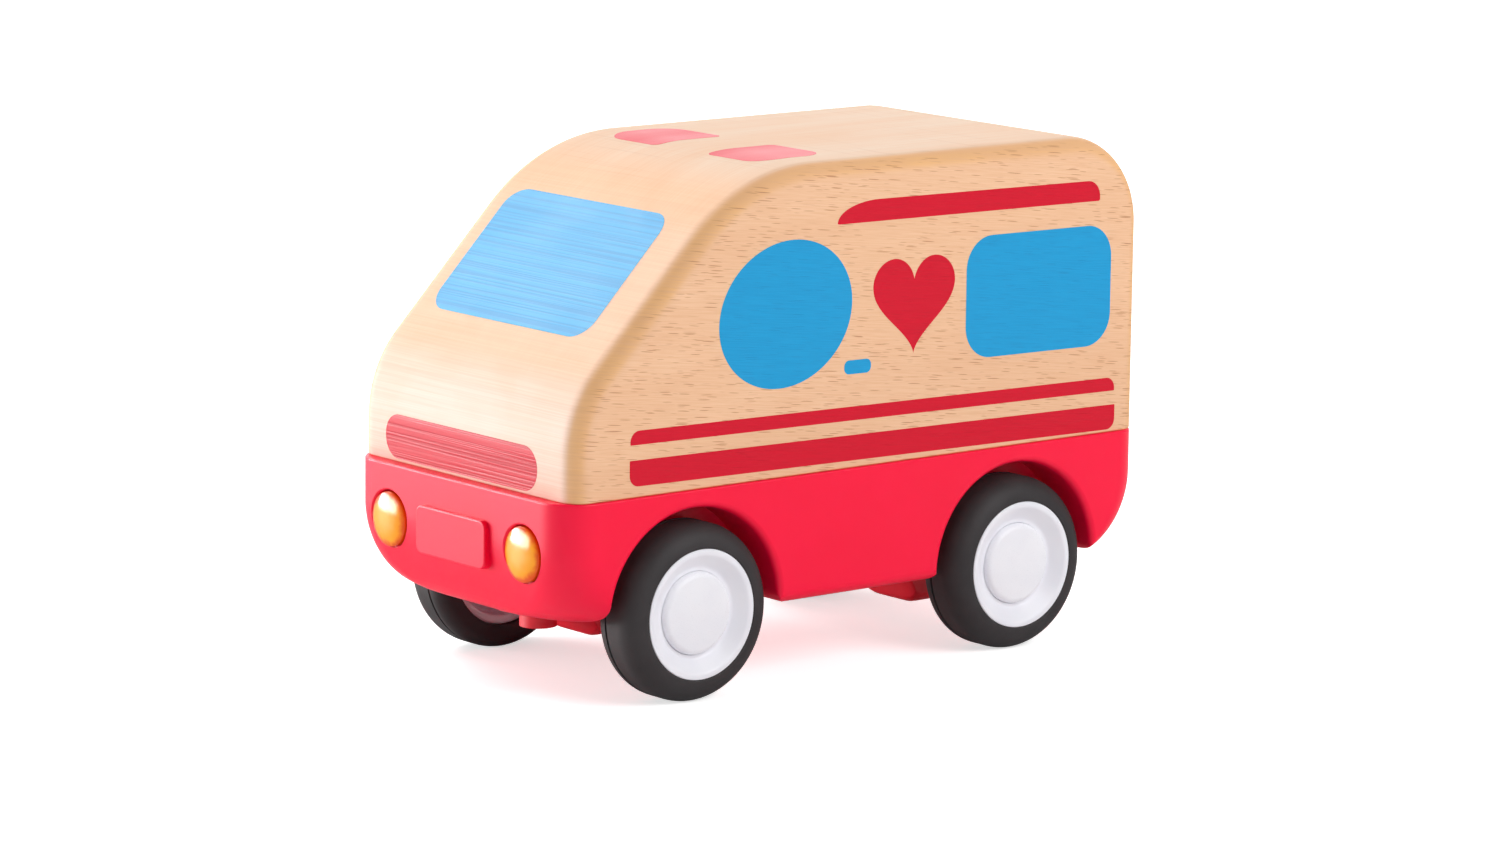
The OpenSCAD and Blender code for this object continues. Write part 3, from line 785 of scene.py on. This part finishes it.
coverPlastic = makeMoulded("coverPlastic", dict(
    colour=(0.84, 0.008, 0.032), clouded=(0.80, 0.007, 0.028), roughness=0.4, gloss=0.5,
    grain=0.3, grainSize=0.2, cloudSize=10, soft=0.1, softRadius=(1, 0.15, 0.1), softDepth=0.0006))
for end in ("front", "rear"):
    cover = makeCover(end + "AxleCover", end + "_axle_cover")
    dress(cover, mainBody, coverPlastic, "cover_red", end + "_axle_cover")
print("axle covers made")

# Headlight lenses

lens = dict(radius=4.95, thick=1.6, dome=1, stemR=2, stemL=3, edgeR=0.25,
            # The first colour is painted light at the lens's middle, the last is painted shade round its edge
            paintedGlow=(1.0, 0.55, 0.14), body=(1.0, 0.38, 0.02), rim=(0.75, 0.08, 0.002),
            swirlScale=0.5, swirlAmount=0.3, glowRamp=(0.1, 0.75), rimShadeRamp=(0.72, 0.96),
            glossRamp=(0.3, 0.7, 0.16, 0.22), gloss=0.24, coat=0.1, coatRoughness=0.1,
            soft=0.2, softRadius=(1.0, 0.4, 0.1), softDepth=0.001)


def makeLens(name, side):
    ballR = (lens["radius"] ** 2 + lens["dome"] ** 2) / (2 * lens["dome"])
    half = degrees(asin(lens["radius"] / ballR))
    seat = shellNoseX - chassis["lensSeat"]
    dome = arcPoints((0, lens["thick"] + lens["dome"] - ballR), ballR, 90 - half, half, 24)
    edge = filletPath([(lens["radius"], 0), (lens["radius"], lens["thick"]), (dome[2].x, dome[2].y)],
                      [0, lens["edgeR"], 0], 6, False)
    profile = [(0, -lens["stemL"]), (lens["stemR"], -lens["stemL"]), (lens["stemR"], 0)]
    profile += [(p.x, p.y) for p in edge] + [(p.x, p.y) for p in dome[3:]]
    return turnedPiece(name, [(r, seat + x) for r, x in profile],
                       (0, side * chassis["lensY"], chassis["lensZ"]), "x", 96)


def makeAmber():
    material, tree, shader = newMaterial("amberLens")
    place = objectPlace(tree)
    swirl = noiseNode(place, 2, lens["swirlScale"])
    split = addNode(tree, "ShaderNodeSeparateXYZ", {0: place}).outputs
    out = mathNode("SUBTRACT", mathNode("ABSOLUTE", split["Y"]), chassis["lensY"])
    up = mathNode("SUBTRACT", split["Z"], chassis["lensZ"])
    spread = mathNode("SQRT", mathNode("ADD", times(out, out), times(up, up)))
    spread = mathNode("ADD", mathNode("DIVIDE", spread, lens["radius"]),
                      times(mathNode("SUBTRACT", swirl, 0.5), lens["swirlAmount"]))
    # Pale at the middle and darker orange at the edge: painted light and shade standing in for light through
    # the dome
    colour = mixColour(rampNode(spread, *lens["glowRamp"]), lens["paintedGlow"], lens["body"])
    colour = mixColour(rampNode(spread, *lens["rimShadeRamp"]), colour, lens["rim"])
    setInputs(shader, {"Base Color": colour, "Roughness": rampNode(swirl, *lens["glossRamp"]),
                       "Specular IOR Level": lens["gloss"], "Coat Weight": lens["coat"],
                       "Coat Roughness": lens["coatRoughness"], "Subsurface Weight": lens["soft"],
                       "Subsurface Radius": lens["softRadius"], "Subsurface Scale": lens["softDepth"]})
    return material


amber = makeAmber()
for side, word in ((1, "left"), (-1, "right")):
    dress(makeLens(word + "HeadlightLens", side), mainBody, amber, "lens_amber", "headlight_lens_" + word)
print("lenses made")

# Wheels: one profile turned round the axle and set at both of its ends

wheel = dict(halfTrack=33.45, segments=128, tyreR=16, tyreSeatR=11.67, tyreW=10.1, shoulderR=4, heelR=2.5,
             seatEdge=0.15, creaseIn=3.1, creaseW=0.5, creaseDepth=0.8,
             hubR=11.65, hubW=9, hubLip=1, hubDish=2, hubWebT=2.2, hubDrumT=1.6,
             hubRadii=(0, 0, 0.15, 1, 1.2, 0.2, 0.3, 0.3, 0.8, 0.6, 0.3, 0),
             collarR=4, collarEnd=10.8, boreR=2.02, capPocketR=7.45, pocketRim=0.7,
             capR=7.42, capInset=0.8, capT=1.6, capCrown=0.05, capEdgeR=1.15, capHeelR=0.1)


def startTree(name, result, inputs):  # a Geometry Nodes tree, and what it is given
    tree = bpy.data.node_groups.new(name, "GeometryNodeTree")
    for label, kind in inputs.items():
        tree.interface.new_socket(label, in_out="INPUT", socket_type="NodeSocket" + kind)
    tree.interface.new_socket(result, in_out="OUTPUT", socket_type="NodeSocketGeometry")
    return tree, addNode(tree, "NodeGroupInput").outputs


def addTurning(tree, source, segments):  # turns the source's row of points (radius, place) round Y
    count = addNode(tree, "GeometryNodeAttributeDomainSize", {"Geometry": source}).outputs["Point Count"]
    ring = mathNode("ADD", segments, 1)
    grid = addNode(tree, "GeometryNodeMeshGrid", {"Vertices X": count, "Vertices Y": ring}).outputs["Mesh"]
    index = nodeOut(tree, "GeometryNodeInputIndex")
    row = mathNode("FLOOR", mathNode("DIVIDE", index, ring))
    step = mathNode("MODULO", index, ring)
    angle = times(mathNode("DIVIDE", step, segments), 2 * pi)
    place = nodeOut(tree, "GeometryNodeInputPosition")
    sample = addNode(tree, "GeometryNodeSampleIndex", {"Geometry": source, "Value": place, "Index": row},
                     data_type="FLOAT_VECTOR")
    split = addNode(tree, "ShaderNodeSeparateXYZ", {0: sample.outputs[0]}).outputs
    turned = joinParts(tree, times(split["X"], mathNode("COSINE", angle)), split["Y"],
                       times(split["X"], mathNode("SINE", angle)))
    shaped = nodeOut(tree, "GeometryNodeSetPosition", {"Geometry": grid, "Position": turned})
    return nodeOut(tree, "GeometryNodeMergeByDistance", {"Geometry": shaped, "Distance": 1e-6})


def placeCopies(tree, shape, spots, turn, finish):  # sets the shape on points, as one painted mesh
    turn = nodeOut(tree, "FunctionNodeEulerToRotation", {0: turn})
    copies = nodeOut(tree, "GeometryNodeInstanceOnPoints",
                     {"Points": spots, "Instance": shape, "Rotation": turn})
    solid = nodeOut(tree, "GeometryNodeRealizeInstances", {0: copies})
    painted = nodeOut(tree, "GeometryNodeSetMaterial", {"Geometry": solid, "Material": finish})
    addNode(tree, "NodeGroupOutput", {0: painted})


def makeWheelPairTree():
    tree, given = startTree("wheelPair", "Wheels", {"Profile": "Geometry", "Segments": "Int",
                                                    "Axle Place": "Vector", "Finish": "Material"})
    shape = addTurning(tree, given["Profile"], given["Segments"])
    ends = nodeOut(tree, "GeometryNodePoints", {"Count": 2, "Position": given["Axle Place"]})
    index = nodeOut(tree, "GeometryNodeInputIndex")
    placeCopies(tree, shape, ends, joinParts(tree, z=times(index, pi)), given["Finish"])
    return tree


def runTree(name, tree, profile, values, angle):  # a plain mesh from a tree and its profile of points
    piece = meshPiece(name, [(r, place, 0) for r, place in profile], [])
    change = piece.modifiers.new(tree.name, "NODES")
    change.node_group = tree
    for label, value in values.items():
        change[tree.interface.items_tree[label].identifier] = value
    settleMesh(piece)
    return smoothMesh(piece, angle)


def tyreProfile():
    outerR, seatR, width, edge = wheel["tyreR"], wheel["tyreSeatR"], wheel["tyreW"], wheel["seatEdge"]
    shoulderR, heelR, creaseW = wheel["shoulderR"], wheel["heelR"], wheel["creaseW"]
    groove, depth = width - wheel["creaseIn"], wheel["creaseDepth"]
    shoulder = arcPoints((outerR - shoulderR, shoulderR), shoulderR, -90, 90, 16)
    crease = [Vector((outerR - drop, groove + way * (creaseW / 2)))
              for drop, way in ((0, -1), (depth, -0.5), (depth, 0.5), (0, 1))]
    heel = arcPoints((outerR - heelR, width - heelR), heelR, 0, 90, 12)
    heel = [p for p in heel if p.y > groove + creaseW]
    inner = [Vector((seatR, width)), Vector((seatR, edge)), Vector((seatR + edge, 0))]
    return inner[2:] + shoulder + crease + heel + inner


def hubProfile():
    rimR, width, dish, pocketR = wheel["hubR"], wheel["hubW"], wheel["hubDish"], wheel["capPocketR"]
    boreR, collarR, collarEnd = wheel["boreR"], wheel["collarR"], wheel["collarEnd"]
    drumR, seat = rimR - wheel["hubDrumT"], wheel["capInset"] + wheel["capT"]
    web = seat + wheel["hubWebT"]
    corners = [(boreR, seat), (pocketR, seat), (pocketR, dish), (pocketR + wheel["pocketRim"], dish),
               (rimR - wheel["hubLip"], 0), (rimR, 0), (rimR, width), (drumR, width), (drumR, web),
               (collarR, web), (collarR, collarEnd), (boreR, collarEnd)]
    path = filletPath(corners, wheel["hubRadii"], 6)
    return path + path[:1]


def capProfile():
    front, capR = wheel["capInset"], wheel["capR"]
    seat = front + wheel["capT"]
    return filletPath([(0, front), (capR, front + wheel["capCrown"]), (capR, seat), (0, seat)],
                      [0, wheel["capEdgeR"], wheel["capHeelR"], 0], 8, False)


tyreRubber = makeMoulded("tyreRubber", dict(
    colour=(0.036, 0.031, 0.033), clouded=(0.028, 0.024, 0.026), roughness=0.62, gloss=0.42,
    grain=0.5, grainSize=0.14, cloudSize=6))
whiteFinish = dict(gloss=0.5, grain=0.2, grainSize=0.2, cloudSize=8,
                   soft=0.15, softRadius=(1, 0.9, 0.9), softDepth=0.0006)
hubPlastic = makeMoulded("hubPlastic", dict(
    whiteFinish, colour=(0.86, 0.86, 0.91), clouded=(0.83, 0.83, 0.89), roughness=0.34))
capPlastic = makeMoulded("capPlastic", dict(
    whiteFinish, colour=(0.87, 0.87, 0.91), clouded=(0.84, 0.84, 0.89), roughness=0.3))
wheelPairTree = makeWheelPairTree()
wheelPieces = (("Tyres", "tyre", tyreProfile(), tyreRubber, "tyre_black", 50),
               ("Hubs", "wheel_hub", hubProfile(), hubPlastic, "hub_white", 40),
               ("HubCaps", "hub_cap", capProfile(), capPlastic, "cap_white", 50))
for end, sign, body in (("front", 1, frontBody), ("rear", -1, rearBody)):
    for word, node, profile, finish, slotName, angle in wheelPieces:
        values = {"Segments": wheel["segments"], "Finish": finish,
                  "Axle Place": (sign * chassis["axleX"] * mm, 0, chassis["axleH"] * mm)}
        profile = [(radius, wheel["halfTrack"] - depth) for radius, depth in profile]
        piece = runTree(end + word, wheelPairTree, profile, values, angle)
        dress(piece, body, finish, slotName, f"{node}_{end}_left", f"{node}_{end}_right")
print("wheels made")

# Screws: a turned pan head with a cross recess, set in four places

screws = dict(slotDepth=0.5, slotWidth=0.2, slotSpan=0.65, domeShare=0.45, neckR=0.1, segments=40, seed=4)


def makeScrewTree():
    inputs = {"Profile": "Geometry", "Segments": "Int", "Seed": "Int", "Finish": "Material"}
    for label in ("Seat Height", "Along", "Apart Along", "Apart Across", "Head Diameter", "Head Height"):
        inputs[label] = "Float"
    tree, given = startTree("screwSet", "Screws", inputs)
    cut = addTurning(tree, given["Profile"], given["Segments"])
    span = times(given["Head Diameter"], screws["slotSpan"])
    width = times(given["Head Diameter"], screws["slotWidth"])
    deep = times(given["Head Height"], 2 * screws["slotDepth"])
    down = joinParts(tree, y=times(given["Head Height"], -1))
    for across, over in ((span, width), (width, span)):
        size = joinParts(tree, across, deep, over)
        bar = addNode(tree, "GeometryNodeMeshCube", {"Size": size}).outputs["Mesh"]
        bar = nodeOut(tree, "GeometryNodeTransform", {"Geometry": bar, "Translation": down})
        cut = nodeOut(tree, "GeometryNodeMeshBoolean", {"Mesh 1": cut, "Mesh 2": bar},
                      operation="DIFFERENCE")
    index = nodeOut(tree, "GeometryNodeInputIndex")
    steps = (mathNode("MODULO", index, 2), mathNode("FLOOR", mathNode("DIVIDE", index, 2)))
    end, side = (mathNode("MULTIPLY_ADD", step, -2, 1) for step in steps)
    x = mathNode("ADD", times(end, given["Along"]), times(side, given["Apart Along"]))
    spot = joinParts(tree, x, times(side, given["Apart Across"]), given["Seat Height"])
    spots = nodeOut(tree, "GeometryNodePoints", {"Count": 4, "Position": spot})
    spin = addNode(tree, "FunctionNodeRandomValue", {"Seed": given["Seed"], 3: pi}, data_type="FLOAT")
    placeCopies(tree, cut, spots, joinParts(tree, pi / 2, 0.0, spin.outputs[1]), given["Finish"])
    return tree


def screwProfile(shankD, length, headD, headH):  # head below zero, shank above, with a short point
    corners = [(0, -headH), (headD / 2, -headH), (headD / 2, 0), (shankD / 2, 0),
               (shankD / 2, length - shankD), (0, length)]
    neckR = screws["neckR"]
    return filletPath(corners, [0, headH * screws["domeShare"], neckR, neckR, 0, 0], 5, False)


screwSteel = makeSteel("screwSteel", (0.56, 0.56, 0.55), (3, 3, 3), 0.32)
screwTree = makeScrewTree()
screwSets = dict(
    cabinScrews=dict(node="body_screws", size=(3, 26, 5.8, 2), seat=chassis["screwSeat"],
                     along=chassis["screwX"], apartAlong=0, apartAcross=chassis["screwY"]),
    coverScrews=dict(node="cover_screws", size=(2.5, 11, 4.8, 1.6), seat=11.3,
                     along=chassis["axleX"], apartAlong=10.6, apartAcross=0))
for name, kit in screwSets.items():
    values = {"Segments": screws["segments"], "Seat Height": kit["seat"] * mm,
              "Along": kit["along"] * mm, "Apart Along": kit["apartAlong"] * mm,
              "Apart Across": kit["apartAcross"] * mm,
              "Head Diameter": kit["size"][2] * mm, "Head Height": kit["size"][3] * mm,
              "Seed": screws["seed"], "Finish": screwSteel}
    piece = runTree(name, screwTree, screwProfile(*kit["size"]), values, 35)
    dress(piece, mainBody, screwSteel, "screw_steel", kit["node"])
print("screws made")

# Axles: the CAD rods with a drawn finish

axleSteel = makeSteel("axleSteel", (0.55, 0.55, 0.56), (6, 0.05, 6), 0.3)
for node in ("front_axle", "rear_axle"):
    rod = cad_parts[node]
    rod.data.materials.clear()
    rod.data.materials.append(axleSteel)
print("axles dressed")

# Floor, background and light, with lengths in metres

stage = dict(floorSize=6, floorTone=0.9, floorRoughness=0.9, floorDull=0.2, glow=0.6,
             fill=0.32, dim=0.03, backShine=2.2, back=(-0.62, -0.76, 0.2), backRamp=(0.55, 0.95), aimH=0.045)


def makeFloor():
    half = stage["floorSize"] / 2 / mm
    corners = [(x, y, 0) for x, y in boxCorners((-half, -half), (half, half))]
    floor = meshPiece("floor", corners, [(0, 1, 2, 3)])
    material, tree, shader = newMaterial("paleFloor")
    setInputs(shader, {"Base Color": (stage["floorTone"],) * 3 + (1,), "Roughness": stage["floorRoughness"],
                       "Specular IOR Level": 0})
    path = addNode(tree, "ShaderNodeLightPath").outputs
    dulled = nodeOut(tree, "ShaderNodeMixShader", {0: times(path["Is Glossy Ray"], stage["floorDull"]),
                                                   1: shader.outputs[0]})
    glow = times(path["Is Camera Ray"], stage["glow"])
    glow = nodeOut(tree, "ShaderNodeEmission", {"Strength": glow})
    blend = nodeOut(tree, "ShaderNodeAddShader", {0: dulled, 1: glow})
    setInputs(tree.nodes["Material Output"], {"Surface": blend})
    floor.data.materials.append(material)


def makeWorld():
    world = bpy.data.worlds.new("studio")
    world.use_nodes = True
    scene.world = world
    tree = world.node_tree
    way = addNode(tree, "ShaderNodeTexCoord").outputs["Generated"]
    facing = vectorNode("DOT_PRODUCT", way, Vector(stage["back"]).normalized()).node.outputs["Value"]
    path = addNode(tree, "ShaderNodeLightPath").outputs
    room = rampNode(facing, *stage["backRamp"], stage["dim"], stage["backShine"])
    level = nodeOut(tree, "ShaderNodeMix", {0: path["Is Glossy Ray"], 2: stage["fill"], 3: room})
    level = mathNode("MAXIMUM", level, path["Is Camera Ray"])
    setInputs(tree.nodes["Background"], {"Color": (1, 1, 1, 1), "Strength": level})


lamps = dict(
    noseBox=dict(way=(0.66, -0.74, 0.07), away=0.95, size=(0.8, 0.2), power=6.5),
    screenBox=dict(way=(0.20, -0.76, 0.61), away=0.95, size=(0.6, 0.5), power=5.4),
    sideBox=dict(way=(-0.25, 0.80, 0.52), away=0.95, size=(0.7, 0.5), power=5.6),
    backBox=dict(way=(-0.50, -0.55, 0.70), away=1.0, size=(0.8, 0.8), power=1.4),
    noseShine=dict(way=(0.66, -0.74, 0.07), away=1.0, size=(0.8, 0.3), power=12, shineOnly=True),
    screenShine=dict(way=(0.20, -0.76, 0.61), away=1.0, size=(0.6, 0.5), power=3.2, shineOnly=True))


def makeLamp(name, lamp):
    light = bpy.data.lights.new(name, "AREA")
    light.shape, light.energy = "RECTANGLE", lamp["power"]
    light.size, light.size_y = lamp["size"]
    holder = bpy.data.objects.new(name, light)
    holder.visible_diffuse = not lamp.get("shineOnly", False)
    way = Vector(lamp["way"]).normalized()
    holder.location = Vector((0, 0, stage["aimH"])) + way * lamp["away"]
    holder.rotation_mode = "QUATERNION"
    holder.rotation_quaternion = (-way).to_track_quat("-Z", "Y")
    scene.collection.objects.link(holder)


makeFloor()
makeWorld()
for name, lamp in lamps.items():
    makeLamp(name, lamp)

# Camera, at the photograph's angle

view = dict(yaw=39.27, pitch=10.13, roll=-0.70, target=(-0.18, 0, 41.44), away=1047.7,
            focal=5743.2, frameW=1500, sensor=36, clip=(0.05, 20))


def makeCamera():
    yaw, pitch, roll = (radians(view[key]) for key in ("yaw", "pitch", "roll"))
    ahead = Vector((-cos(pitch) * sin(yaw), -cos(pitch) * cos(yaw), -sin(pitch)))
    right = ahead.cross(Vector((0, 0, 1))).normalized()
    down = ahead.cross(right)
    right, down = (right * cos(roll) + down * sin(roll),
                   down * cos(roll) - right * sin(roll))
    data = bpy.data.cameras.new("camera")
    data.sensor_fit, data.sensor_width = "HORIZONTAL", view["sensor"]
    data.lens = data.sensor_width * view["focal"] / view["frameW"]
    data.clip_start, data.clip_end = view["clip"]
    camera = bpy.data.objects.new("camera", data)
    turn = Matrix((right, -down, -ahead)).transposed()
    eye = (Vector(view["target"]) - ahead * view["away"]) * mm
    camera.matrix_world = Matrix.Translation(eye) @ turn.to_4x4()
    scene.collection.objects.link(camera)
    scene.camera = camera


makeCamera()
scene.view_settings.view_transform = "Standard"
print("stage set")
